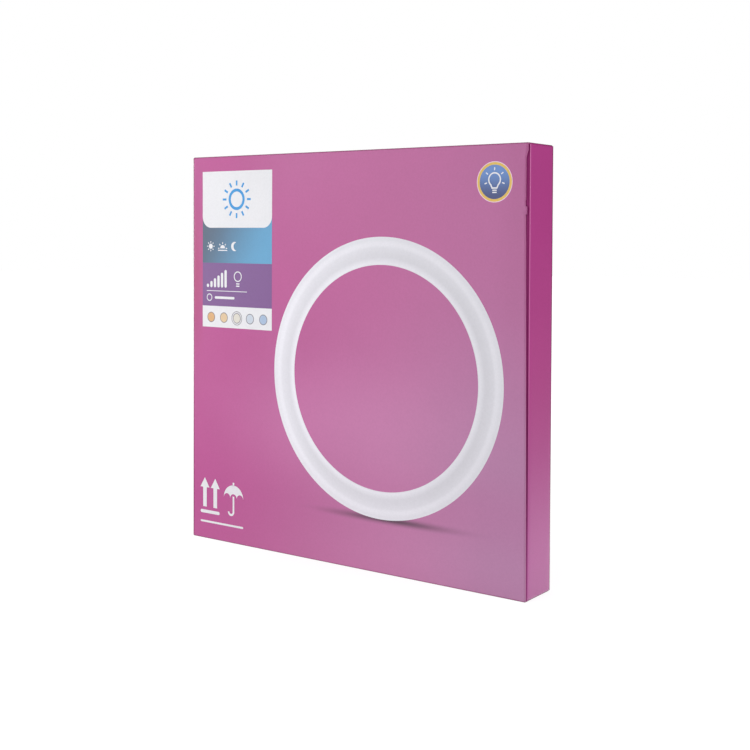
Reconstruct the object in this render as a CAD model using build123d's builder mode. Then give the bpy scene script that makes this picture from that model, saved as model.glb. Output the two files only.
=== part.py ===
"""A slim square retail carton for a ring lamp, closed as it is sold.

The carton is one folded blank: a glued sleeve of front, top, back and bottom panels, with a tuck flap
at each end. It stands on its long narrow side. The front panel faces -Y and the visible end is at +X.
The two flaps hinge on opposite panels: the right one on the back panel, the left one on the front.
"""

import os

from build123d import *

# Driving dimensions of the closed carton, in millimetres
width = 312.0  # along X, from end flap to end flap
depth = 35.0  # along Y, room for a 30 mm tube and its padding
height = 312.0  # along Z

# Board and folds
board = 0.6  # thickness of the board
crease_radius = 0.75  # outside radius of the long creases, a board and a tight inside radius
hinge_radius = 0.8  # outside radius of the fold between an end flap and its panel
tongue_radius = 0.6  # outside radius of the fold to its tongue
dust_fold_radius = 0.65  # outside radius where the top and bottom panels fold in under a flap

# End flaps
flap_inset = 0.75  # a flap stops this far short of the top and bottom panels
tongue_length = 14.0  # how far a flap's tongue reaches in behind the free panel edge
tongue_gap = 1.2  # air between the free panel and the tongue, which stands in behind it

# The free edge of the front and back panels, which is cut back to clear the flap's fold
tab_height = 5.0  # at the top of the edge, the panel keeps more of its width
tab_gap = 0.9  # but even that stops this far short of the flap's face
relief_slope = 5.0  # height over which the edge steps back below the tab
relief = 2.4  # how far the edge is cut back from there down to the lock
relief_bottom = 0.1  # and at the base, where the slope of its lower part runs out

# A small shoulder of the lock that stands out of the front panel's edge, with a notch above it
shoulder_drop = 48.5  # from the top of the pack down to the shoulder's lower end
shoulder_height = 5.5
shoulder_reach = 0.9
shoulder_radius = 0.35
shoulder_press = 0.4  # the shoulder is pressed in behind the panel's face
notch_height = 4.0
notch_depth = 0.3

# The maker's glued seam, where the back panel's cut edge meets the bottom fold
seam_height = 0.9  # the back panel stops this far above the base

tolerance = 0.01  # within which a corner counts as being at a place
half_width = width / 2
half_depth = depth / 2
tongue_face = half_depth - board - tongue_gap  # distance of a tongue's outer face from the middle
lock_bottom = height - shoulder_drop

# Each panel plane looks out of the pack, with its free edge towards its own +X and +Y up
front = Plane(origin=(0, -half_depth, 0), x_dir=(1, 0, 0), z_dir=(0, -1, 0))
back = Plane(origin=(0, half_depth, 0), x_dir=(-1, 0, 0), z_dir=(0, 1, 0))

os.makedirs("parts", exist_ok=True)


# A panel from behind its tongue to its free edge, with the tab and the relief below it
with BuildSketch() as free_edge:
    behind_tongue = half_width - tongue_length - board
    tab_end = half_width - tab_gap
    with BuildLine():
        Polyline(
            (behind_tongue, 0),
            (half_width - relief_bottom, 0),
            (half_width - relief, lock_bottom),
            (half_width - relief, height - tab_height - relief_slope),
            (tab_end, height - tab_height),
            (tab_end, height),
            (behind_tongue, height),
            close=True,
        )
    make_face()

# The gaps above and below the right flap, each with the round of a dust flap's fold beside it
with BuildPart() as flap_gaps:
    with BuildSketch(Plane.XZ.offset(-half_depth)) as flap_gap_profile:
        with BuildLine():
            flap_back = half_width - board
            fold = RadiusArc(
                (flap_back - dust_fold_radius, height),
                (flap_back, height - dust_fold_radius),
                dust_fold_radius,
            )
            Polyline(
                fold @ 1,
                (flap_back, height - flap_inset),
                (half_width, height - flap_inset),
                (half_width, height),
                fold @ 0,
            )
        make_face()
        mirror(about=Plane.XZ.offset(-height / 2))
    extrude(amount=depth - board)


with BuildPart() as carton:
    # Plan of the closed pack: at two opposite corners the tongue lies behind the free panel
    with BuildSketch(Plane.XY) as plan:
        Rectangle(width, depth)
        with PolarLocations(0, 2):
            with Locations((half_width - tongue_length / 2, -(half_depth + tongue_face) / 2)):
                Rectangle(tongue_length, half_depth - tongue_face, mode=Mode.SUBTRACT)
        for reach, radius in ((half_depth, hinge_radius), (tongue_face, tongue_radius)):
            folds = plan.vertices().filter_by(
                lambda corner: half_width - abs(corner.X) < tolerance
                and abs(reach - abs(corner.Y)) < tolerance
            )
            fillet(folds, radius)
    extrude(amount=height)

    # The top and bottom panels run over the ends of the tongues, up to their own folds
    for plane in (Plane.XY, Plane.XY.offset(height - board)):
        with BuildSketch(plane):
            Rectangle(width - 2 * board, depth)
        extrude(amount=board)

    # The free edges of the front and back panels
    for plane in (front, back):
        with BuildSketch(plane):
            add(free_edge.sketch)
        extrude(amount=-board)

    # The lock's shoulder and notch in the front panel's edge
    relief_edge = half_width - relief
    with BuildSketch(front.offset(-shoulder_press)):
        with Locations((relief_edge, lock_bottom + shoulder_height / 2)):
            RectangleRounded(shoulder_reach * 2, shoulder_height, shoulder_radius)
    extrude(amount=-board)
    with BuildSketch(front):
        with Locations((relief_edge, lock_bottom + shoulder_height + notch_height / 2)):
            Rectangle(notch_depth * 2, notch_height)
    extrude(amount=-board, mode=Mode.SUBTRACT)

    # Rounded creases of the sleeve, and the seam's step at the back of the base
    with BuildSketch(Plane.YZ) as sleeve:
        with Locations((0, height / 2)):
            Rectangle(depth, height)
        with Locations((half_depth - board / 2, seam_height / 2)):
            Rectangle(board, seam_height, mode=Mode.SUBTRACT)
        creases = sleeve.vertices().group_by(Axis.Y)[-1] + sleeve.vertices().group_by(Axis.Y)[0]
        fillet(creases, crease_radius)
    extrude(amount=half_width, both=True, mode=Mode.INTERSECT)

    # The flaps stop short of the top and bottom panels, whose folds show in the gaps
    with PolarLocations(0, 2):
        add(flap_gaps.part, mode=Mode.SUBTRACT)

carton.part.label = "carton"
export_step(carton.part, "parts/carton.step")
print("carton volume, litres:", round(carton.part.volume / 1e6, 3))
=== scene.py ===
"""Dresses the closed carton: the folded board, its printed fields and varnish, the studio and the camera.

Every length is in metres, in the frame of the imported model: the front panel faces -Y, the visible tuck
end is at +X, and the carton stands on z = 0.
"""
import math

import bmesh
import bpy
from mathutils import Matrix, Vector, noise


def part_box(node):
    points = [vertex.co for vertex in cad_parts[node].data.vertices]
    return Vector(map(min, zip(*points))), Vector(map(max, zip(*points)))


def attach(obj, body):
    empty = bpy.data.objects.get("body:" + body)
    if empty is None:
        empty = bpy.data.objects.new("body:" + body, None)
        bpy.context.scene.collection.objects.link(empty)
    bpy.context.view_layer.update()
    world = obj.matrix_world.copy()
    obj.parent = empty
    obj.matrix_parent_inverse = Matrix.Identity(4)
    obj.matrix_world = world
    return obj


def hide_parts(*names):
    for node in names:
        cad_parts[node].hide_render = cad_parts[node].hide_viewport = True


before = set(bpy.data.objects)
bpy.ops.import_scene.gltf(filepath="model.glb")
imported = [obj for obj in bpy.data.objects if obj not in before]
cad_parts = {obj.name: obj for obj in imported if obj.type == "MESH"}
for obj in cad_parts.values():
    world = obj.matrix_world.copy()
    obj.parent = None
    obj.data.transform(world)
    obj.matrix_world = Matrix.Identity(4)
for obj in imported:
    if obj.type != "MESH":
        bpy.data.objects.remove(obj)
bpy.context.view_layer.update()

MM = 0.001
low, high = (Vector(corner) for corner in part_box("carton"))
WIDTH, DEPTH, HEIGHT = high - low
HALF_W = WIDTH / 2
HALF_D = DEPTH / 2

# The board and its folds, as in the solid
BOARD = 0.6 * MM
CREASE_R = 0.75 * MM
HINGE_R = 0.8 * MM
TONGUE_R = 0.6 * MM
DUST_R = 0.65 * MM
TONGUE = 14 * MM
TONGUE_GAP = 1.2 * MM
TAB = 5 * MM
TAB_GAP = 0.9 * MM
SLOPE = 5 * MM
RELIEF = 2.4 * MM
RELIEF_BOTTOM = 0.1 * MM
SHOULDER_DROP = 48.5 * MM
SHOULDER = 5.5 * MM
SHOULDER_REACH = 0.9 * MM
SHOULDER_PRESS = 0.4 * MM
NOTCH = 4 * MM
NOTCH_DEPTH = 0.3 * MM
SEAM = 0.9 * MM

# How far the large panels belly out over what they hold, and how far the end flaps do
BELLY = 0.3 * MM
FLAP_BELLY = 0.1 * MM
UNEVEN = 0.05 * MM
WAVES = 9  # bumps of that unevenness in a metre
WAVE_SLICE = 3.7  # the place in the noise that they are taken from
BELLY_SPAN = HALF_W - HINGE_R

# Print stands this far off the board, so that fields stack without touching
INK = 0.03 * MM


def belly(across, up, half_across, depth):
    """How far a panel stands out at a point, given by its place across the panel and up the pack."""
    window = math.cos(math.pi / 2 * min(1, abs(across) / half_across)) * math.sin(math.pi * up / HEIGHT)
    wave = noise.noise(Vector((across * WAVES, up * WAVES, WAVE_SLICE)))
    return max(0.0, window) * (depth + UNEVEN * wave)


def front_point(x, z, lift=0.0):
    """A point on the front panel's face, or lifted off it by some ink."""
    return Vector((x, -HALF_D - belly(x, z, BELLY_SPAN, BELLY) - lift, z))


# Mesh helpers

def new_piece(name, bm, materials, smooth=True):
    """An object made from a bmesh, riding on the pack."""
    mesh = bpy.data.meshes.new(name)
    bm.to_mesh(mesh)
    bm.free()
    for material in materials:
        mesh.materials.append(material)
    if smooth:
        mesh.shade_smooth()
    piece = bpy.data.objects.new(name, mesh)
    bpy.context.scene.collection.objects.link(piece)
    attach(piece, "root")
    return piece


def grid_faces(bm, rows):
    """Quads between rows of points."""
    verts = [[bm.verts.new(point) for point in row] for row in rows]
    for row, following in zip(verts, verts[1:]):
        for a, b, c, d in zip(row, row[1:], following[1:], following):
            bm.faces.new((a, b, c, d))


def spread(start, end, step):
    """Evenly spaced values from start to end, about step apart."""
    count = max(1, round(abs(end - start) / step))
    return [start + (end - start) * i / count for i in range(count + 1)]


def quarter_turn(count=5):
    """Angles from 0 to a right angle, in radians."""
    return [math.pi / 2 * i / count for i in range(count + 1)]


# The folded board

CUT = 0.05 * MM  # a square step in a cut edge is this wide
LOCK_Z = HEIGHT - SHOULDER_DROP
NOTCH_Z = LOCK_Z + SHOULDER
RELIEF_X = HALF_W - RELIEF
LOWER_EDGE = ((0, HALF_W - RELIEF_BOTTOM), (LOCK_Z - CUT, RELIEF_X))
UPPER_EDGE = (
    (HEIGHT - TAB - SLOPE, RELIEF_X),
    (HEIGHT - TAB, HALF_W - TAB_GAP),
    (HEIGHT, HALF_W - TAB_GAP),
)
LOCK = (
    (LOCK_Z, RELIEF_X + SHOULDER_REACH),
    (NOTCH_Z - CUT, RELIEF_X + SHOULDER_REACH),
    (NOTCH_Z, RELIEF_X - NOTCH_DEPTH),
    (NOTCH_Z + NOTCH, RELIEF_X - NOTCH_DEPTH),
    (NOTCH_Z + NOTCH + CUT, RELIEF_X),
)
PLAIN_EDGE = (*LOWER_EDGE, *UPPER_EDGE)
LOCKED_EDGE = (*LOWER_EDGE, *LOCK, *UPPER_EDGE)

# A tongue's outer face lies this far from the middle
TONGUE_Y = HALF_D - BOARD - TONGUE_GAP

# The board's glue strip lies inside the back panel, a hair clear of it
SEAM_Y = HALF_D - BOARD * 1.03
STRIP_ROWS = (CREASE_R, 6 * MM, 12 * MM)

# The dust flaps reach this far in behind the end flaps, a little narrower than the pack
DUST_FLAP = 30 * MM
DUST_NARROWER = 0.97
DUST_SHOULDER = DUST_R + 1 * MM
DUST_EDGE = TONGUE_Y - BOARD - 0.2 * MM  # and stay this far in, behind the tongue

# The sheet's rows and columns of faces are about this far apart, and points nearer than WELD are joined
STEP = 4 * MM
WELD = 0.004 * MM
TOP_YS = spread(HALF_D - CREASE_R, CREASE_R - HALF_D, STEP)
BASE_YS = spread(CREASE_R - HALF_D, SEAM_Y - CREASE_R, STEP)

# Beyond this, columns of the sheet close up or spread to meet a panel's own end
FLEX = 150 * MM
END_COLUMN = HALF_W - 2 * MM
COLUMNS = [-HALF_W, -END_COLUMN, *spread(-FLEX, FLEX, STEP), END_COLUMN, HALF_W]

# Rows lie close together at the creases and in the lock, and evenly below and above it
END_ROW = 2.2 * MM
HEIGHTS = sorted(
    {z for z, _ in LOCKED_EDGE if CREASE_R < z < HEIGHT - CREASE_R}
    | {CREASE_R, END_ROW, HEIGHT - END_ROW, HEIGHT - CREASE_R}
    | set(spread(6 * MM, LOCK_Z - 4 * MM, STEP))
    | set(spread(LOCK_Z + 13 * MM, HEIGHT - 14 * MM, STEP))
)


def edge_at(edge, z):
    """Where a cut edge, given by its corners from the base up, lies at a height."""
    for (z0, x0), (z1, x1) in zip(edge, edge[1:]):
        if z <= z1:
            return x0 + (x1 - x0) * (z - z0) / (z1 - z0)
    return edge[-1][1]


def across(left, right):
    """The columns of a panel that ends at left and right."""
    def place(x):
        if abs(x) <= FLEX:
            return x
        end = right if x > 0 else left
        share = (abs(x) - FLEX) / (HALF_W - FLEX)
        return math.copysign(FLEX, x) + share * (end - math.copysign(FLEX, x))
    return [place(x) for x in COLUMNS]


def sleeve_rows():
    """Rows of points round the sleeve: up the back, over the top, down the front, under the base and
    in behind the back's lower edge, where the seam is glued."""
    fold_end = HALF_W - HINGE_R
    dust_end = HALF_W - BOARD - DUST_R
    rows = []

    def row(ends, y, z, out=0.0):
        left, right = ends
        rows.append([
            Vector((x, y + out * belly(x, z, BELLY_SPAN, BELLY), z)) for x in across(left, right)
        ])

    def corner(ends_from, ends_to, y, z, turn):
        """A crease about a centre line at y and z, turned from the first direction to the next."""
        for angle in quarter_turn()[1:-1]:
            share = angle / (math.pi / 2)
            ends = [a + (b - a) * share for a, b in zip(ends_from, ends_to)]
            dy, dz = turn(math.cos(angle), math.sin(angle))
            row(ends, y + CREASE_R * dy, z + CREASE_R * dz)

    def back_ends(z):
        return -edge_at(PLAIN_EDGE, z), fold_end

    def front_ends(z):
        return -fold_end, edge_at(LOCKED_EDGE, z)

    caps = (-dust_end, dust_end)
    inner = HALF_D - CREASE_R
    for z in [SEAM, *HEIGHTS[1:]]:
        row(back_ends(z), HALF_D, z, 1)
    corner(back_ends(HEIGHT), caps, inner, HEIGHT - CREASE_R, lambda c, s: (c, s))
    for y in TOP_YS:
        row(caps, y, HEIGHT)
    corner(caps, front_ends(HEIGHT), -inner, HEIGHT - CREASE_R, lambda c, s: (-s, c))
    for z in reversed(HEIGHTS):
        row(front_ends(z), -HALF_D, z, -1)
        if LOCK_Z <= z < NOTCH_Z:
            rows[-1][-2].x = RELIEF_X
            rows[-1][-1].y += SHOULDER_PRESS
    corner(front_ends(0), caps, -inner, CREASE_R, lambda c, s: (-c, -s))
    for y in BASE_YS:
        row(caps, y, 0)
    corner(caps, caps, SEAM_Y - CREASE_R, CREASE_R, lambda c, s: (s, -c))
    for z in STRIP_ROWS:
        row(caps, SEAM_Y, z)
    return rows


def flap_rows(heights):
    """Rows of an end flap at +X, one for each height: round its hinge from the back panel, across the
    end, and round the tongue's fold in behind the front panel."""
    hinge_x, hinge_y = HALF_W - HINGE_R, HALF_D - HINGE_R
    fold_x, fold_y = HALF_W - TONGUE_R, TONGUE_R - TONGUE_Y
    rows = []
    for z in heights:
        row = [(hinge_x + HINGE_R * math.sin(a), hinge_y + HINGE_R * math.cos(a)) for a in quarter_turn()]
        row += [(HALF_W + belly(y, z, HALF_D, FLAP_BELLY), y) for y in spread(hinge_y, fold_y, STEP)[1:]]
        for angle in quarter_turn()[1:]:
            row.append((fold_x + TONGUE_R * math.cos(angle), fold_y - TONGUE_R * math.sin(angle)))
        row += [(x, -TONGUE_Y) for x in spread(fold_x, HALF_W - TONGUE, STEP)[1:]]
        rows.append([Vector((x, y, z)) for x, y in row])
    return rows


def dust_rows(z, inward, ys):
    """Rows of a dust flap at +X, from its fold at the top or bottom panel's end in behind the end flap.
    It is cut narrower below its fold, so that its edge lies behind the tongue."""
    rows = []
    for angle in quarter_turn(3):
        x = HALF_W - BOARD - DUST_R + DUST_R * math.sin(angle)
        rows.append([Vector((x, y, z + inward * DUST_R * (1 - math.cos(angle)))) for y in ys])
    for drop in (DUST_SHOULDER, DUST_FLAP):
        narrower = [max(y * DUST_NARROWER, -DUST_EDGE) for y in ys]
        rows.append([Vector((HALF_W - BOARD, y, z + inward * drop)) for y in narrower])
    return rows


def build_board(printed, inside, cut):
    """The folded blank: one sheet of board, printed outside and bare inside and on its cut edges."""
    bm = bmesh.new()
    grid_faces(bm, sleeve_rows())
    half_turn = Matrix.Rotation(math.pi, 4, "Z")
    for heights, turn in (([SEAM, *HEIGHTS[1:]], Matrix()), (HEIGHTS, half_turn)):
        grid_faces(bm, [[turn @ p for p in row] for row in flap_rows(heights)])
        for z, inward, ys in ((HEIGHT, -1, TOP_YS), (0, 1, BASE_YS)):
            if turn != Matrix():
                ys = [-y for y in ys]
            grid_faces(bm, [[turn @ p for p in row] for row in dust_rows(z, inward, ys)])
    bmesh.ops.remove_doubles(bm, verts=bm.verts, dist=WELD)
    bmesh.ops.recalc_face_normals(bm, faces=bm.faces[:])
    loose = [v for v in bm.verts if not v.link_faces]
    bmesh.ops.delete(bm, geom=loose, context="VERTS")
    board = new_piece("carton_board", bm, [printed, inside, cut])
    thickness = board.modifiers.new("thickness", "SOLIDIFY")
    thickness.thickness = BOARD
    thickness.offset = -1  # inwards
    thickness.material_offset = 1  # the bare inside
    thickness.material_offset_rim = 2  # the cut edges
    thickness.use_even_offset = True
    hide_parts("carton")


# Nodes

class Tree:
    """A node tree, with short calls for the nodes that the materials and the studio use."""

    def __init__(self, tree):
        self.tree = tree

    def add(self, kind, **settings):
        node = self.tree.nodes.new(kind)
        for key, value in settings.items():
            setattr(node, key, value)
        return node

    def feed(self, socket, value):
        if isinstance(value, bpy.types.NodeSocket):
            self.tree.links.new(value, socket)
        else:
            socket.default_value = value

    def math(self, operation, *values, clamp=False):
        node = self.add("ShaderNodeMath", operation=operation, use_clamp=clamp)
        for socket, value in zip(node.inputs, values):
            self.feed(socket, value)
        return node.outputs[0]

    def product(self, first, *others):
        """All these values multiplied."""
        for value in others:
            first = self.math("MULTIPLY", first, value)
        return first

    def length(self, a, b):
        """The length of a flat vector."""
        return self.math("SQRT", self.math("ADD", self.math("POWER", a, 2.0), self.math("POWER", b, 2.0)))

    def axes(self, vector):
        node = self.add("ShaderNodeSeparateXYZ")
        self.feed(node.inputs[0], vector)
        return node.outputs[0], node.outputs[1], node.outputs[2]

    def step(self, value, start, end, out_start=0.0, out_end=1.0):
        """Goes smoothly from out_start to out_end as value goes from start to end."""
        node = self.add("ShaderNodeMapRange", interpolation_type="SMOOTHSTEP")
        for socket, number in zip(node.inputs, (value, start, end, out_start, out_end)):
            self.feed(socket, number)
        return node.outputs[0]

    def share(self, value, start, end):
        """Goes evenly from 0 to 1 as value goes from start to end."""
        node = self.add("ShaderNodeMapRange")
        for socket, number in zip(node.inputs, (value, start, end)):
            self.feed(socket, number)
        return node.outputs[0]

    def grey(self, value):
        """The same value in all three colour channels."""
        node = self.add("ShaderNodeCombineColor")
        for socket in node.inputs[:3]:
            self.feed(socket, value)
        return node.outputs[0]

    def mix(self, factor, a, b, blend="MIX"):
        node = self.add("ShaderNodeMix", data_type="RGBA", blend_type=blend)
        self.feed(node.inputs["Factor"], factor)
        self.feed(node.inputs[6], a)
        self.feed(node.inputs[7], b)
        return node.outputs[2]

    def mix_shaders(self, factor, first, second, output):
        """Sends a mix of two shaders to the output of this name."""
        node = self.add("ShaderNodeMixShader")
        for socket, value in zip(node.inputs, (factor, first, second)):
            self.feed(socket, value)
        self.feed(self.tree.nodes[output].inputs["Surface"], node.outputs[0])


class Surface(Tree):
    """A material's node tree, with its shader and the place on the piece that is shaded."""

    def __init__(self, name):
        self.material = bpy.data.materials.new(name)
        self.material.use_nodes = True
        super().__init__(self.material.node_tree)
        self.shader = self.tree.nodes["Principled BSDF"]
        self.point = self.add("ShaderNodeTexCoord").outputs["Object"]

    def noise(self, scale, detail=2.0, stretch=(1, 1, 1)):
        """Noise with about this many bumps in a metre."""
        mapping = self.add("ShaderNodeMapping")
        self.feed(mapping.inputs["Vector"], self.point)
        mapping.inputs["Scale"].default_value = stretch
        node = self.add("ShaderNodeTexNoise")
        self.feed(node.inputs["Vector"], mapping.outputs[0])
        node.inputs["Scale"].default_value = scale
        node.inputs["Detail"].default_value = detail
        return node.outputs["Fac"]

    def bump(self, height, distance, strength=1.0, after=None):
        node = self.add("ShaderNodeBump")
        node.inputs["Strength"].default_value = strength
        node.inputs["Distance"].default_value = distance
        self.feed(node.inputs["Height"], height)
        if after is not None:
            self.feed(node.inputs["Normal"], after)
        return node.outputs[0]


def srgb(red, green, blue):
    """A colour written as 0 to 255, in the linear values that a shader takes."""
    def linear(value):
        value /= 255
        return value / 12.92 if value <= 0.04045 else ((value + 0.055) / 1.055) ** 2.4
    return (linear(red), linear(green), linear(blue), 1.0)


# Print on the front panel is placed in millimetres from its top left corner

def print_x(mm):
    return -HALF_W + mm * MM


def print_z(mm):
    return HEIGHT - mm * MM


RING_X, RING_Y = 190.9, 168.0
RING_OUTER, RING_INNER = 102.8, 82.45
RING_TALL = 1.011  # the pictured ring is this much taller than it is wide

# Soft patches on the front, each an ellipse: its middle and its half sizes, in print millimetres. The
# glow and its dip shape a painted sheen, the glint is a painted highlight, and the ring's shadow is print
GLOW = ((310, 260), (330, 300))
GLOW_DIP = ((300, 255), (170, 40))
WARM_EDGE = ((0, 95), (18, 90))
GLINT = ((150, 205), (175, 68))
RING_SHADOW = ((RING_X + 7, RING_Y + RING_OUTER * RING_TALL - 0.3), (104, 5.4))

# Between these, more painted sheen comes in along the top, painted shade comes in at the upper right
# corner, and the sheen turns cooler to the right: across the front in print millimetres, and up it
TOP_BAND, TOP_RISE = (20, 120), (HEIGHT * 0.6, HEIGHT)
CORNER_BAND, CORNER_RISE = (280, 305), (HEIGHT * 0.3, HEIGHT * 0.8)
COOL_BAND = (190, 300)

# Ink colours, and the colours of the painted sheen, highlights and shade laid over them
PINK = srgb(174, 66, 134)
PINK_SIDE = srgb(173, 62, 132)
PINK_BASE = srgb(169, 65, 140)
# Painted sheen on the front: paler, and cooler towards the right
PINK_SHEEN = srgb(186, 122, 164)
PINK_COOL_SHEEN = srgb(174, 120, 160)
PINK_WARM = srgb(168, 54, 110)
# Painted highlight, a broad band across the front
PINK_GLINT = srgb(232, 168, 214)
# Painted highlight on the tongues' folds
PINK_HIGHLIGHT = srgb(204, 112, 168)
# Painted shade, along the folds and in the front's upper right corner
PINK_DEEP_SHADE = srgb(128, 38, 92)
PINK_SHADE = srgb(108, 8, 76)
PRINTED_SHADOW = srgb(84, 52, 74)

# How strong some tints are where they are strongest
TOP_SHARE = 0.32
DIP_SHARE = 0.14
CORNER_SHADE_SHARE = 0.1
GLINT_SHARE = 0.13
HIGHLIGHT_SHARE = 0.6
FOLD_SHADE_SHARE = 0.9
GAP_SHARE = 0.65
SHADOW_POWER = 1.7  # above 1, so that the printed shadow thins out towards its rim

GLOSS = (0.22, 0.27)  # roughness of the varnish, at its smoothest and at its roughest
BARE_DEPTH = (0.1 * MM, 0.5 * MM)  # the gloss ends between these depths behind the pack's faces

# The painted shade along a fold, a dark line: how far it reaches over a panel, its fading part, and how
# ragged it is
FOLD_LINE = 2.1 * MM
RIM_LINE = 1.2 * MM
LINE_FADE = 0.8 * MM
RAGGED = 0.4 * MM

# The painted highlight on a tongue's fold, which widens between two heights from a narrow start to a wide
# one
HIGHLIGHT_HEIGHTS = (40 * MM, 240 * MM)
HIGHLIGHT_STARTS = (HALF_W - 0.1 * MM, HALF_W - 0.5 * MM)
HIGHLIGHT_FADE = 0.1 * MM
HIGHLIGHT_Y = (TONGUE_Y - 0.9 * MM, TONGUE_Y - 0.6 * MM)

# The shade between a tongue's fold and the free panel: where it comes in, and where it goes out
GAP_X = (HALF_W - 2 * MM, HALF_W - 1 * MM)
GAP_Z = (0.0, 120 * MM)
GAP_Y_START = (TONGUE_Y - 0.6 * MM, TONGUE_Y - 0.4 * MM)
GAP_Y_END = (TONGUE_Y + 0.3 * MM, TONGUE_Y + 0.6 * MM)

# The sign of x times y tells a tongue's corner from a hinge's; they blend over this, in square metres
CORNER_BLEND = 1e-4


def near_edges(n):
    """Masks for borders: the outer part of the tongues' folds, where a highlight is painted; the gap
    between them and the free panel, where shade is painted; and the pack's other folds, where a dark line
    of shade is painted."""
    x, y, z = n.axes(n.point)
    ragged = n.product(n.math("SUBTRACT", n.noise(420, 3), 0.5), RAGGED)
    out_x, out_y, out_z = [
        n.math("ADD", n.math("ABSOLUTE", value), ragged)
        for value in (x, y, n.math("SUBTRACT", z, HEIGHT / 2))
    ]
    lines = ((out_x, HALF_W, FOLD_LINE), (out_y, HALF_D, FOLD_LINE), (out_z, HEIGHT / 2, RIM_LINE))
    at_x, at_y, at_z = [
        n.step(out, half - reach, half - reach + LINE_FADE) for out, half, reach in lines
    ]
    tongue_side = n.step(n.product(x, y), -CORNER_BLEND, CORNER_BLEND, 1.0, 0.0)
    width_x, width_y = n.math("ABSOLUTE", x), n.math("ABSOLUTE", y)
    # Painted highlight on the outer part of the tongues' folds
    turn = n.step(z, *HIGHLIGHT_HEIGHTS, *HIGHLIGHT_STARTS)
    highlight_x = n.step(width_x, turn, n.math("ADD", turn, HIGHLIGHT_FADE))
    fold_highlight = n.product(tongue_side, highlight_x, n.step(out_y, *HIGHLIGHT_Y))
    gap_x = n.product(n.step(width_x, *GAP_X), n.math("SUBTRACT", 1.0, highlight_x))
    gap_y = n.product(n.step(width_y, *GAP_Y_START), n.step(width_y, *GAP_Y_END, 1.0, 0.0))
    shaded = n.product(tongue_side, gap_x, gap_y, n.step(z, *GAP_Z))
    hinges = n.product(at_x, at_y, n.math("SUBTRACT", 1.0, tongue_side))
    rims = n.product(n.math("MAXIMUM", at_x, at_y), at_z)
    return fold_highlight, shaded, n.math("MAXIMUM", hinges, rims)


def inside_pack(n):
    """1 on the faces of the tongues and the dust flaps, inside the pack, and 0 on its outer faces."""
    x, y, z = n.axes(n.point)
    depth_x, depth_y, depth_z = [
        n.math("SUBTRACT", half, n.math("ABSOLUTE", value))
        for value, half in ((x, HALF_W), (y, HALF_D), (n.math("SUBTRACT", z, HEIGHT / 2), HEIGHT / 2))
    ]
    return n.step(n.math("MINIMUM", n.math("MINIMUM", depth_x, depth_y), depth_z), *BARE_DEPTH)


def varnish(n, colour):
    """Smooth printed board under a gloss varnish: faint mottle in the ink, paper grain under it, and a
    slow waviness in the gloss."""
    mottle = n.step(n.noise(700, 2), 0.2, 0.8, 0.975, 1.02)
    cloud = n.step(n.noise(16, 2), 0.3, 0.7, 0.985, 1.015)
    shade = n.grey(n.product(mottle, cloud))
    n.feed(n.shader.inputs["Base Color"], n.mix(1.0, colour, shade, "MULTIPLY"))
    n.feed(n.shader.inputs["Roughness"], n.step(n.noise(30, 2), 0.2, 0.8, *GLOSS))
    grain = n.bump(n.noise(620, 1, (1, 1, 1.6)), 0.004 * MM, 0.5)
    wave = n.bump(n.noise(28, 1), 0.05 * MM, 0.5, grain)
    n.feed(n.shader.inputs["Normal"], wave)
    return n.material


def soft_spot(n, x, z, middle, size):
    """1 in the middle of an ellipse on the front, falling to 0 at its rim."""
    sideways = n.math("DIVIDE", n.math("SUBTRACT", x, print_x(middle[0])), size[0] * MM)
    upright = n.math("DIVIDE", n.math("SUBTRACT", z, print_z(middle[1])), size[1] * MM)
    return n.step(n.length(sideways, upright), 0.0, 1.0, 1.0, 0.0)


def across_front(n, x, band):
    """0 left of a band of the front, 1 right of it, and a smooth change inside it."""
    return n.step(x, print_x(band[0]), print_x(band[1]))


def front_tints(n, x, z, on_front, colour):
    """Painted sheen over the front, paler along its top and towards its lower right and cooler to the
    right, with painted shade in its upper right corner, a deeper, warmer strip at its left edge, a broad
    painted highlight, and the soft shadow printed under the ring.
    """
    # Painted sheen: the pale top and the glow spot, less its dip
    top = n.product(n.step(z, *TOP_RISE), across_front(n, x, TOP_BAND), TOP_SHARE)
    dip = n.product(soft_spot(n, x, z, *GLOW_DIP), DIP_SHARE)
    pale = n.math("SUBTRACT", n.math("ADD", soft_spot(n, x, z, *GLOW), top), dip, clamp=True)
    sheen_tint = n.mix(across_front(n, x, COOL_BAND), PINK_SHEEN, PINK_COOL_SHEEN)
    # Painted shade in the upper right corner, where the light falls off
    corner = n.product(n.step(z, *CORNER_RISE), across_front(n, x, CORNER_BAND), CORNER_SHADE_SHARE)
    warm = soft_spot(n, x, z, *WARM_EDGE)
    # Painted highlight
    glint = n.product(soft_spot(n, x, z, *GLINT), GLINT_SHARE)
    shadow = n.math("POWER", soft_spot(n, x, z, *RING_SHADOW), SHADOW_POWER)
    for share, tint in (
        (pale, sheen_tint),
        (corner, PINK_DEEP_SHADE),
        (warm, PINK_WARM),
        (glint, PINK_GLINT),
        (shadow, PRINTED_SHADOW),
    ):
        colour = n.mix(n.product(share, on_front), colour, tint)
    return colour


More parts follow.
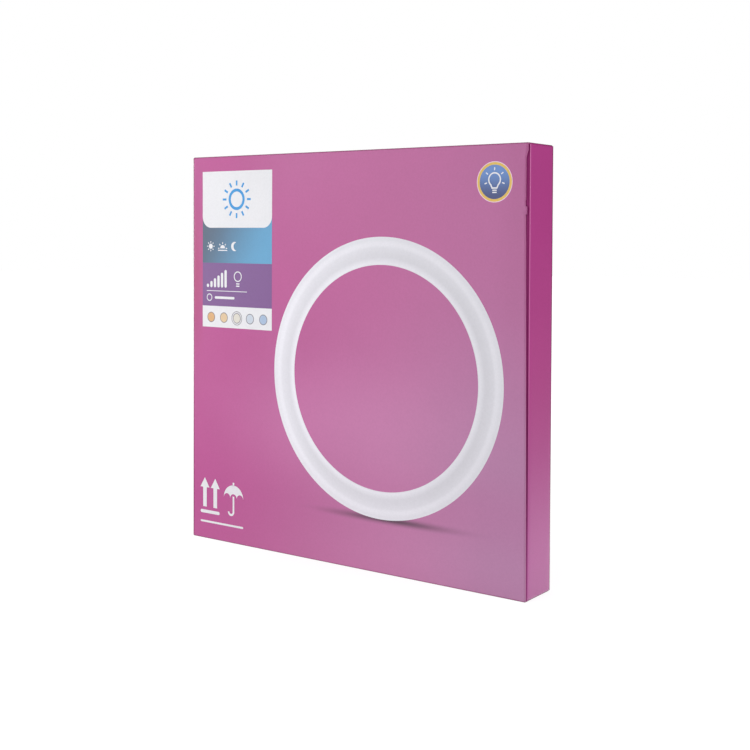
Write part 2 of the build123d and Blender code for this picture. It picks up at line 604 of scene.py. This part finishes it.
def printed_board():
    """The pink print that covers the blank. It has a painted highlight along the tongues' folds, painted
    shade along the other edges and in the gap beside the tongues, and isn't varnished inside the pack."""
    n = Surface("pink_print")
    x, y, z = n.axes(n.point)
    on_front = n.step(y, -HALF_D, -HALF_D + 1 * MM, 1.0, 0.0)
    plain = n.mix(on_front, n.mix(n.step(z, 0.0, HEIGHT * 0.5), PINK_BASE, PINK_SIDE), PINK)
    colour = front_tints(n, x, z, on_front, plain)
    fold_highlight, shaded, fold_shade = near_edges(n)
    # Painted highlight along the tongues' folds, fading out towards the base
    colour = n.mix(n.product(fold_highlight, n.step(z, 0.0, 200 * MM), HIGHLIGHT_SHARE), colour, PINK_HIGHLIGHT)
    # Painted shade along the hinges and the top's and base's edges
    colour = n.mix(n.product(fold_shade, FOLD_SHADE_SHARE), colour, PINK_DEEP_SHADE)
    n.feed(n.shader.inputs["Specular IOR Level"], n.step(inside_pack(n), 0.0, 1.0, 0.5, 0.05))
    return varnish(n, n.mix(n.product(shaded, GAP_SHARE), colour, PINK_SHADE))


def cut_board():
    """A cut edge, in a light pink: painted light that lifts it out of the shade of the narrow gap beside
    the tongue.
    """
    n = Surface("cut_edge")
    n.feed(n.shader.inputs["Base Color"], n.mix(n.noise(900), srgb(188, 98, 150), srgb(204, 116, 166)))
    n.feed(n.shader.inputs["Roughness"], n.step(n.noise(500), 0.3, 0.7, 0.7, 0.85))
    return n.material


def raw_board():
    """The board's own grey inner face."""
    n = Surface("bare_board")
    fibre = n.step(n.noise(1500, 4, (1, 1, 4)), 0.3, 0.7)
    n.feed(n.shader.inputs["Base Color"], n.mix(fibre, srgb(126, 104, 114), srgb(150, 128, 138)))
    n.feed(n.shader.inputs["Roughness"], n.step(n.noise(500), 0.3, 0.7, 0.75, 0.9))
    n.feed(n.shader.inputs["Normal"], n.bump(n.noise(3000, 3), 0.02 * MM))
    return n.material


def flat_ink(name, colour):
    """A material of one even ink."""
    return varnish(Surface(name), srgb(*colour))


# Printed shapes, drawn flat at y = 0 and then laid on the front panel

PRINT_GRID = 6 * MM
PRINT_WELD = 0.002 * MM
BAR_END = 0.999  # of half a bar's width, so that the ends of its straight sides stay apart


def lay_print(name, bm, material, layer):
    """Gives flat faces drawn at y = 0 the thickness of a layer of ink, on the front panel's own curve."""
    bmesh.ops.remove_doubles(bm, verts=bm.verts, dist=PRINT_WELD)
    under = bm.verts[:]
    raised = bmesh.ops.extrude_face_region(bm, geom=bm.faces[:])
    upper = [g for g in raised["geom"] if isinstance(g, bmesh.types.BMVert)]
    for vert in upper:
        vert.co = front_point(vert.co.x, vert.co.z, INK * layer)
    for vert in under:
        vert.co = front_point(vert.co.x, vert.co.z, -INK)
    bmesh.ops.recalc_face_normals(bm, faces=bm.faces[:])
    piece = new_piece(name, bm, [material], smooth=False)


def finish_print(name, bm, material, layer):
    """Cuts flat faces along an even grid, so that they can follow the curved panel, and lays them."""
    xs = [v.co.x for v in bm.verts]
    zs = [v.co.z for v in bm.verts]
    for axis, values in ((Vector((1, 0, 0)), xs), (Vector((0, 0, 1)), zs)):
        first, last = math.ceil(min(values) / PRINT_GRID), math.floor(max(values) / PRINT_GRID)
        for k in range(first, last + 1):
            geometry = bm.verts[:] + bm.edges[:] + bm.faces[:]
            bmesh.ops.bisect_plane(bm, geom=geometry, plane_co=axis * k * PRINT_GRID, plane_no=axis)
    lay_print(name, bm, material, layer)


def add_outline(bm, points):
    """A flat face with this outline, given as x and z."""
    bm.faces.new([bm.verts.new((x, 0, z)) for x, z in points])


def add_shape(bm, points):
    """A flat face with an outline given in print millimetres."""
    add_outline(bm, [(print_x(x), print_z(y)) for x, y in points])


def add_box(bm, left, top, right, bottom, radii):
    """A box in print millimetres, with radii at its top left, top right, bottom right and bottom left."""
    corners = ((left, top, 1, 1), (right, top, -1, 1), (right, bottom, -1, -1), (left, bottom, 1, -1))
    outline = []
    for (x, y, sx, sy), radius, start in zip(corners, radii, (180, 270, 0, 90)):
        steps = 10 if radius else 0
        cx, cy = x + sx * radius, y + sy * radius
        for i in range(steps + 1):
            angle = math.radians(start + (90 * i / steps if steps else 45))
            outline.append((cx + radius * math.cos(angle), cy + radius * math.sin(angle)))
    add_shape(bm, outline)


def add_bar(bm, left, top, right, bottom):
    """A bar with round ends, in print millimetres."""
    radius = min(right - left, bottom - top) / 2 * BAR_END
    add_box(bm, left, top, right, bottom, (radius,) * 4)


def add_disc(bm, x, y, radius, inner=0.0, count=48):
    """A disc or a ring, its centre and radii in print millimetres."""
    def rim(r):
        return [
            (print_x(x) + r * MM * math.cos(a), print_z(y) + r * MM * math.sin(a))
            for a in (2 * math.pi * i / count for i in range(count))
        ]
    if not inner:
        add_outline(bm, rim(radius))
        return
    outside = [bm.verts.new((px, 0, pz)) for px, pz in rim(radius)]
    inside = [bm.verts.new((px, 0, pz)) for px, pz in rim(inner)]
    for i in range(count):
        k = (i + 1) % count
        bm.faces.new((outside[i], outside[k], inside[k], inside[i]))


def add_stroke(bm, points, width, closed=False):
    """A line of even width through points given in print millimetres."""
    places = [Vector((print_x(x), print_z(y))) for x, y in points]
    count = len(places)
    sides = []
    for i, place in enumerate(places):
        before = places[i - 1] if closed or i else None
        after = places[(i + 1) % count] if closed or i < count - 1 else None
        way_in = (place - before if before else after - place).normalized()
        way_out = (after - place if after else place - before).normalized()
        way = (way_in + way_out).normalized()
        side = Vector((-way.y, way.x)) * (width * MM / 2 / way.dot(way_in))
        sides.append([bm.verts.new((p.x, 0, p.y)) for p in (place + side, place - side)])
    following = sides[1:] + (sides[:1] if closed else [])
    for (a, b), (c, d) in zip(sides, following):
        bm.faces.new((a, b, d, c))


def arc(x, y, radius, start, end, count=24):
    """Points of an arc in print millimetres, its angles in degrees, anticlockwise as seen."""
    angles = [math.radians(start + (end - start) * i / count) for i in range(count + 1)]
    return [(x + radius * math.cos(a), y - radius * math.sin(a)) for a in angles]


def add_rays(bm, x, y, inner, outer, width, angles):
    """Short straight rays about a centre, at these angles in degrees."""
    for angle in angles:
        a = math.radians(angle)
        ends = [(x + r * math.cos(a), y - r * math.sin(a)) for r in (inner, outer)]
        add_stroke(bm, ends, width)


# The ring

RING_BANDS = 6
RING_SIDES = 240

# Greys across the ring's tube, from its inner rim to its outer one
RING_GREYS = (
    (0, 213),
    (0.07, 218),
    (0.27, 202),
    (0.4, 203),
    (0.6, 208),
    (0.7, 217),
    (0.78, 217),
    (0.9, 211),
    (1, 212),
)
RING_LIGHT = (-0.95, -0.3)  # the side that it looks lit from, as x and z
RING_LIT = 1.13  # times as bright on that side as on the other


def ring_print():
    """The white ring: pale at its rims, greyer where it turns away and brightest at its lower left."""
    n = Surface("ring_print")
    x, _, z = n.axes(n.point)
    dx = n.math("SUBTRACT", x, print_x(RING_X))
    dz = n.math("DIVIDE", n.math("SUBTRACT", z, print_z(RING_Y)), RING_TALL)
    ramp = n.add("ShaderNodeValToRGB")
    n.feed(ramp.inputs["Fac"], n.share(n.length(dx, dz), RING_INNER * MM, RING_OUTER * MM))
    elements = ramp.color_ramp.elements
    while len(elements) < len(RING_GREYS):
        elements.new(0.5)
    for element, (place, value) in zip(elements, RING_GREYS):
        element.position = place
        element.color = srgb(value + 1, value, value + 7)
    towards_light = n.math("ADD", n.product(dx, RING_LIGHT[0]), n.product(dz, RING_LIGHT[1]))
    lit = n.step(towards_light, -RING_OUTER * MM, RING_OUTER * MM, 1.0, RING_LIT)
    return varnish(n, n.mix(1.0, ramp.outputs["Color"], n.grey(lit), "MULTIPLY"))


def build_ring():
    """The ring, in bands of faces from its inner rim to its outer one."""
    bm = bmesh.new()
    middle_x, middle_z = print_x(RING_X), print_z(RING_Y)
    angles = [2 * math.pi * i / RING_SIDES for i in range(RING_SIDES + 1)]
    rows = []
    for i in range(RING_BANDS + 1):
        radius = (RING_INNER + (RING_OUTER - RING_INNER) * i / RING_BANDS) * MM
        rows.append([
            Vector((middle_x + radius * math.cos(a), 0, middle_z + radius * RING_TALL * math.sin(a)))
            for a in angles
        ])
    grid_faces(bm, rows)
    lay_print("ring_print", bm, ring_print(), 1)


# The label block: a white field over a blue one, a purple one, and a white one

LABEL_LEFT, LABEL_RIGHT = 11.0, 85.3
LABEL_TOP, WHITE_END, BLUE_END, PURPLE_END, LABEL_END = 12.1, 57.5, 85.9, 120.9, 138.1
LABEL_MIDDLE = (LABEL_LEFT + LABEL_RIGHT) / 2
LABEL_CORNER = 9


def blue_panel():
    """Slate blue at the upper left, running into a clear light blue at the lower right."""
    n = Surface("blue_panel_print")
    x, _, z = n.axes(n.point)
    along = n.math("SUBTRACT", x, n.product(n.math("SUBTRACT", z, print_z(WHITE_END)), 0.5))
    share = n.step(along, print_x(LABEL_LEFT), print_x(LABEL_RIGHT + 6))
    return varnish(n, n.mix(share, srgb(68, 86, 108), srgb(87, 153, 194)))


def build_label(white):
    """The fields. The blue one runs up behind the rounded corners of the white one over it."""
    purple = flat_ink("purple_print", (115, 73, 134))
    behind_white = WHITE_END - LABEL_CORNER - 1
    square = (0, 0, 0, 0)
    rounded = (0, 0, LABEL_CORNER, LABEL_CORNER)
    for name, top, bottom, material, layer, slot, radii in (
        ("label_blue_field", behind_white, BLUE_END, blue_panel(), 1, "blue_print", square),
        ("label_purple_field", BLUE_END, PURPLE_END, purple, 1, "purple_print", square),
        ("label_lower_white_field", PURPLE_END, LABEL_END, white, 1, "white_print", square),
        ("label_upper_white_field", LABEL_TOP, WHITE_END, white, 2, "white_print", rounded),
    ):
        bm = bmesh.new()
        add_box(bm, LABEL_LEFT, top, LABEL_RIGHT, bottom, radii)
        finish_print(name, bm, material, layer)


# Plain pictograms on the label

DAY_Y = 72.5
BARS_LEFT, FIRST_BAR_TOP, BARS_FOOT = 15.6, 103, 105.8
BAR_WIDTH, BAR_SPACING, BAR_RISE = 2.5, 3.9, 2.3
BULB_X = 49.5
TINT_Y = 130
TINT_SPACING = 14
TINT_R, TINT_RIM = 3.6, 4.2
TINTS = ((244, 190, 130), (248, 216, 172), (245, 240, 228), (222, 232, 246), (184, 208, 240))
TINT_SHADE = 0.86  # their inks are this much darker


def build_lit_ring(ink):
    """A ring with rays round it."""
    bm = bmesh.new()
    y = (LABEL_TOP + WHITE_END) / 2
    add_disc(bm, LABEL_MIDDLE, y, 8.6, inner=6.2, count=64)
    add_rays(bm, LABEL_MIDDLE, y, inner=11, outer=15, width=1.7, angles=range(0, 360, 30))
    finish_print("lit_ring_mark", bm, ink, 3)


def build_day_to_night(ink):
    """A sun, a low sun over the horizon, and a moon."""
    bm = bmesh.new()
    sun, dusk, moon = 20, 33, 46
    low_y, horizon = DAY_Y + 1.6, DAY_Y + 3.2
    add_disc(bm, sun, DAY_Y, 2.1)
    add_rays(bm, sun, DAY_Y, inner=2.9, outer=4.1, width=0.8, angles=range(0, 360, 45))
    add_shape(bm, arc(dusk, low_y, 2.6, 180, 0))
    add_rays(bm, dusk, low_y, inner=3.5, outer=4.9, width=0.8, angles=range(0, 181, 45))
    add_stroke(bm, [(dusk - 5, horizon), (dusk + 5, horizon)], 0.8)
    add_shape(bm, arc(moon, DAY_Y, 3.7, 60, 300) + arc(moon + 2.1, DAY_Y, 3.2, 270, 90)[1:-1])
    finish_print("day_to_night_mark", bm, ink, 2)


def build_brightness(ink):
    """Rising bars and a bulb above a line, with a small ring and a bar below it."""
    bm = bmesh.new()
    for i in range(6):
        left = BARS_LEFT + BAR_SPACING * i
        add_bar(bm, left, FIRST_BAR_TOP - BAR_RISE * i, left + BAR_WIDTH, BARS_FOOT)
    add_disc(bm, BULB_X, 96.6, 4.2, inner=3.4)
    for base in (102.4, 104.2):
        add_stroke(bm, [(BULB_X - 1.8, base), (BULB_X + 1.8, base)], 0.9)
    add_stroke(bm, [(BARS_LEFT, 108.6), (59.3, 108.6)], 0.5)
    add_disc(bm, BARS_LEFT + 3, 114, 3.0, inner=2.3)
    add_bar(bm, 24.5, 113, 46, 115)
    finish_print("brightness_mark", bm, ink, 2)


def build_tints(rim_ink):
    """A row of whites from warm to cold. The middle one has a second rim."""
    for i, tint in enumerate(TINTS):
        x = LABEL_LEFT + 9.5 + TINT_SPACING * i
        ink = flat_ink(f"tint_ink_{i + 1}", [value * TINT_SHADE for value in tint])
        bm = bmesh.new()
        add_disc(bm, x, TINT_Y, TINT_R)
        finish_print(f"tint_{i + 1}", bm, ink, 2)
        bm = bmesh.new()
        add_disc(bm, x, TINT_Y, TINT_RIM, inner=TINT_R)
        if i == len(TINTS) // 2:
            add_disc(bm, x, TINT_Y, 5.6, inner=5.1)
        finish_print(f"tint_rim_{i + 1}", bm, rim_ink, 2)


# The badge

BADGE_X, BADGE_Y, BADGE_R = 285.3, 26.1, 14.1
BADGE_EDGE = BADGE_R - 0.5
BADGE_DISC = BADGE_R - 2.3


def badge_blue():
    """Lit blue, paler at the top."""
    n = Surface("badge_print")
    _, _, z = n.axes(n.point)
    share = n.step(z, print_z(BADGE_Y + 11), print_z(BADGE_Y - 9))
    return varnish(n, n.mix(share, srgb(58, 68, 118), srgb(96, 133, 192)))


def build_badge(ink):
    """A round badge with a plain rim and a bulb."""
    pale = flat_ink("badge_edge_print", (226, 196, 220))
    gold = flat_ink("gold_print", (214, 178, 84))
    for name, radius, inner, material, slot in (
        ("badge_edge", BADGE_R, BADGE_EDGE, pale, "white_print"),
        ("badge_rim", BADGE_EDGE, BADGE_DISC, gold, "white_print"),
        ("badge_disc", BADGE_DISC, 0, badge_blue(), "blue_print"),
    ):
        bm = bmesh.new()
        add_disc(bm, BADGE_X, BADGE_Y, radius, inner, count=72)
        finish_print(name, bm, material, 1)
    bm = bmesh.new()
    glass_y, neck_y = BADGE_Y - 1.6, BADGE_Y + 4.2
    glass = arc(BADGE_X, glass_y, 4.6, -50, 230, 40)
    add_stroke(bm, glass + [(BADGE_X - 1.9, neck_y), (BADGE_X + 1.9, neck_y)], 1.0, closed=True)
    for base in (BADGE_Y + 5.7, BADGE_Y + 7.2):
        add_stroke(bm, [(BADGE_X - 1.7, base), (BADGE_X + 1.7, base)], 0.8)
    add_rays(bm, BADGE_X, glass_y, inner=6.4, outer=8.4, width=0.8, angles=range(-20, 201, 55))
    finish_print("bulb_mark", bm, ink, 2)


# Handling marks

MARKS_LEFT = 8.7
ARROW = ((0, 262), (5, 270), (2, 270), (2, 286), (-2, 286), (-2, 270), (-5, 270))
CANOPY_X, CANOPY_Y, CANOPY_R = 45, 275.5, 10.5
HOLLOW_R = CANOPY_R / 3
HOOK_R = 2.6
STEM = 1.7


def add_umbrella(bm):
    """A canopy with three hollows in its lower edge, a stem that ends in a hook, and a tip."""
    canopy = arc(CANOPY_X, CANOPY_Y, CANOPY_R, 180, 0, 32)
    hollows = []
    for k in range(3):
        hollow = arc(CANOPY_X + 2 * HOLLOW_R * (1 - k), CANOPY_Y, HOLLOW_R, 0, 180, 10)
        hollows += hollow[1:]
    add_shape(bm, canopy + hollows[:-1])
    hook = arc(CANOPY_X - HOOK_R, 286.6, HOOK_R, 0, -180, 14)
    add_stroke(bm, [(CANOPY_X, 274), *hook], STEM)
    add_stroke(bm, [(CANOPY_X, 262.8), (CANOPY_X, 265.5)], STEM)


def build_handling_marks(ink):
    """This way up, keep dry, and a rule below them."""
    bm = bmesh.new()
    for x in (13.5, 25):
        add_shape(bm, [(x + dx, y) for dx, y in ARROW])
    add_bar(bm, MARKS_LEFT, 288.6, 29.8, 291.2)
    add_umbrella(bm)
    add_bar(bm, MARKS_LEFT, 297.2, 55.5, 298.8)
    finish_print("handling_marks", bm, ink, 1)


# Studio

CAMERA_AT = Vector((0.5531, -0.7439, 0.2494))
CAMERA_TURN, CAMERA_DOWN, CAMERA_ROLL = 35.83, 1.6, 0.24  # degrees
CAMERA_LENS = 58.59
CAMERA_SHIFT_Y = -0.1416

WHITE = (1, 1, 1, 1)
WORLD_LIGHT = 0.68
FRONT_REFLECTION = 0.8  # how bright the backdrop in front of the pack looks in the varnish
BACK_REFLECTION = 0.02  # and the one behind it
SIDE_BLEND = 0.3  # front and back run into each other over this much on each side of the middle

FLOOR_REACH = 6.0
FLOOR_GREY = 0.75
FLOOR_SHADOW = 0.25  # how much of the lamps' light and shadow shows on the white floor
FLOOR_GLOW = 0.8  # its own light at the pack, which rises to 1 at a metre
FLOOR_REFLECTION = 1.3  # how strong the fading floor looks in the varnish
FLOOR_FADE = 0.5  # it fades over this distance
FLOOR_SPOT = 0.36  # and a brighter spot of it, behind the pack, over this one


def add_camera():
    data = bpy.data.cameras.new("photo_view")
    data.sensor_width = 36
    data.lens = CAMERA_LENS
    data.shift_y = CAMERA_SHIFT_Y
    camera = bpy.data.objects.new("photo_view", data)
    turn = Matrix.Rotation(math.radians(CAMERA_TURN), 4, "Z")
    turn = turn @ Matrix.Rotation(math.radians(90 - CAMERA_DOWN), 4, "X")
    turn = turn @ Matrix.Rotation(math.radians(CAMERA_ROLL), 4, "Z")
    camera.matrix_world = Matrix.Translation(CAMERA_AT) @ turn
    bpy.context.scene.collection.objects.link(camera)
    bpy.context.scene.camera = camera


def add_lamp(name, place, target, width, height, radiance):
    """A softbox of this size and brightness, facing a point."""
    data = bpy.data.lights.new(name, "AREA")
    data.shape = "RECTANGLE"
    data.size = width
    data.size_y = height
    data.energy = radiance * math.pi * width * height
    lamp = bpy.data.objects.new(name, data)
    lamp.location = place
    lamp.rotation_euler = (Vector(target) - Vector(place)).to_track_quat("-Z", "Y").to_euler()
    bpy.context.scene.collection.objects.link(lamp)


def seen_directly(n):
    """1 for camera, glossy and transmission rays."""
    path = n.add("ShaderNodeLightPath")
    seen = n.math("MAXIMUM", path.outputs["Is Camera Ray"], path.outputs["Is Glossy Ray"])
    return n.math("MAXIMUM", seen, path.outputs["Is Transmission Ray"])


def front_side(n, y):
    """1 in front of the pack and 0 behind it, by a place or a direction."""
    return n.step(y, SIDE_BLEND, -SIDE_BLEND)


def reflected_share(n, share):
    """Leaves camera rays at 1, and gives what glossy rays see this share."""
    glossy = n.add("ShaderNodeLightPath").outputs["Is Glossy Ray"]
    return n.math("SUBTRACT", 1.0, n.product(glossy, n.math("SUBTRACT", 1.0, share)))


def add_world():
    """A white backdrop on every side, and a moderate even light from it."""
    world = bpy.data.worlds.new("studio")
    world.use_nodes = True
    n = Tree(world.node_tree)
    lit = n.tree.nodes["Background"]
    white = n.add("ShaderNodeBackground")
    for backdrop in (lit, white):
        backdrop.inputs["Color"].default_value = WHITE
    lit.inputs["Strength"].default_value = WORLD_LIGHT
    _, y, _ = n.axes(n.add("ShaderNodeTexCoord").outputs["Generated"])
    share = n.math("MULTIPLY_ADD", front_side(n, y), FRONT_REFLECTION - BACK_REFLECTION, BACK_REFLECTION)
    n.feed(white.inputs["Strength"], reflected_share(n, share))
    n.mix_shaders(seen_directly(n), lit.outputs[0], white.outputs[0], "World Output")
    bpy.context.scene.world = world


def floor_glow(n):
    """The floor's own white light. The varnish mirrors all of it or more in front of the pack, and less
    and less with the distance behind it."""
    distance = n.add("ShaderNodeVectorMath", operation="LENGTH")
    n.feed(distance.inputs[0], n.point)
    away = distance.outputs["Value"]
    _, y, _ = n.axes(n.point)
    side = front_side(n, y)
    fading = n.math("EXPONENT", n.math("DIVIDE", away, -FLOOR_FADE))
    spot = n.math("POWER", n.math("DIVIDE", away, FLOOR_SPOT), 2.0)
    spot = n.product(n.math("EXPONENT", n.product(spot, -1.0)), n.math("SUBTRACT", 1.0, side))
    share = n.math("MAXIMUM", n.product(n.math("ADD", fading, spot), FLOOR_REFLECTION), side)
    white = n.math("MULTIPLY_ADD", n.math("MINIMUM", away, 1.0), 1.0 - FLOOR_GLOW, FLOOR_GLOW)
    return n.product(white, reflected_share(n, share))


def floor_material():
    n = Surface("studio_floor")
    n.shader.inputs["Base Color"].default_value = (FLOOR_GREY, FLOOR_GREY, FLOOR_GREY, 1)
    n.shader.inputs["Roughness"].default_value = 1.0
    n.shader.inputs["Specular IOR Level"].default_value = 0.0
    pale = n.add("ShaderNodeBsdfDiffuse")
    pale.inputs["Color"].default_value = (FLOOR_SHADOW, FLOOR_SHADOW, FLOOR_SHADOW, 1)
    glow = n.add("ShaderNodeEmission")
    n.feed(glow.inputs["Strength"], floor_glow(n))
    both = n.add("ShaderNodeAddShader")
    n.feed(both.inputs[0], pale.outputs[0])
    n.feed(both.inputs[1], glow.outputs[0])
    n.mix_shaders(seen_directly(n), n.shader.outputs[0], both.outputs[0], "Material Output")
    return n.material


def add_floor():
    """A white floor that keeps a faint shadow under a white that fills the picture."""
    mesh = bpy.data.meshes.new("floor")
    corners = [(FLOOR_REACH * x, FLOOR_REACH * y, 0) for x, y in ((-1, -1), (1, -1), (1, 1), (-1, 1))]
    mesh.from_pydata(corners, [], [(0, 1, 2, 3)])
    floor = bpy.data.objects.new("floor", mesh)
    bpy.context.scene.collection.objects.link(floor)
    mesh.materials.append(floor_material())


def light_studio():
    add_world()
    add_floor()
    add_lamp(
        "softbox_front_left",
        place=(-1.05, -1.2, 0.95), target=(-0.05, 0, 0.15), width=2.6, height=2.0, radiance=0.85,
    )
    add_lamp(
        "edge_left",
        place=(-0.95, -0.32, 0.2), target=(-0.1, 0, 0.12), width=0.4, height=0.4, radiance=8.0,
    )
    add_lamp(
        "fill_right",
        place=(1.3, 0.1, 0.7), target=(0.156, 0, 0.16), width=0.9, height=0.9, radiance=2.4,
    )


add_camera()
light_studio()
bpy.context.scene.view_settings.view_transform = "Standard"

build_board(printed_board(), raw_board(), cut_board())
build_ring()
white_ink = flat_ink("white_ink", (220, 220, 224))
sky_ink = flat_ink("sky_ink", (40, 140, 205))
grey_ink = flat_ink("grey_ink", (120, 116, 124))
build_label(white_ink)
build_lit_ring(sky_ink)
build_day_to_night(white_ink)
build_brightness(white_ink)
build_tints(grey_ink)
build_badge(white_ink)
build_handling_marks(white_ink)
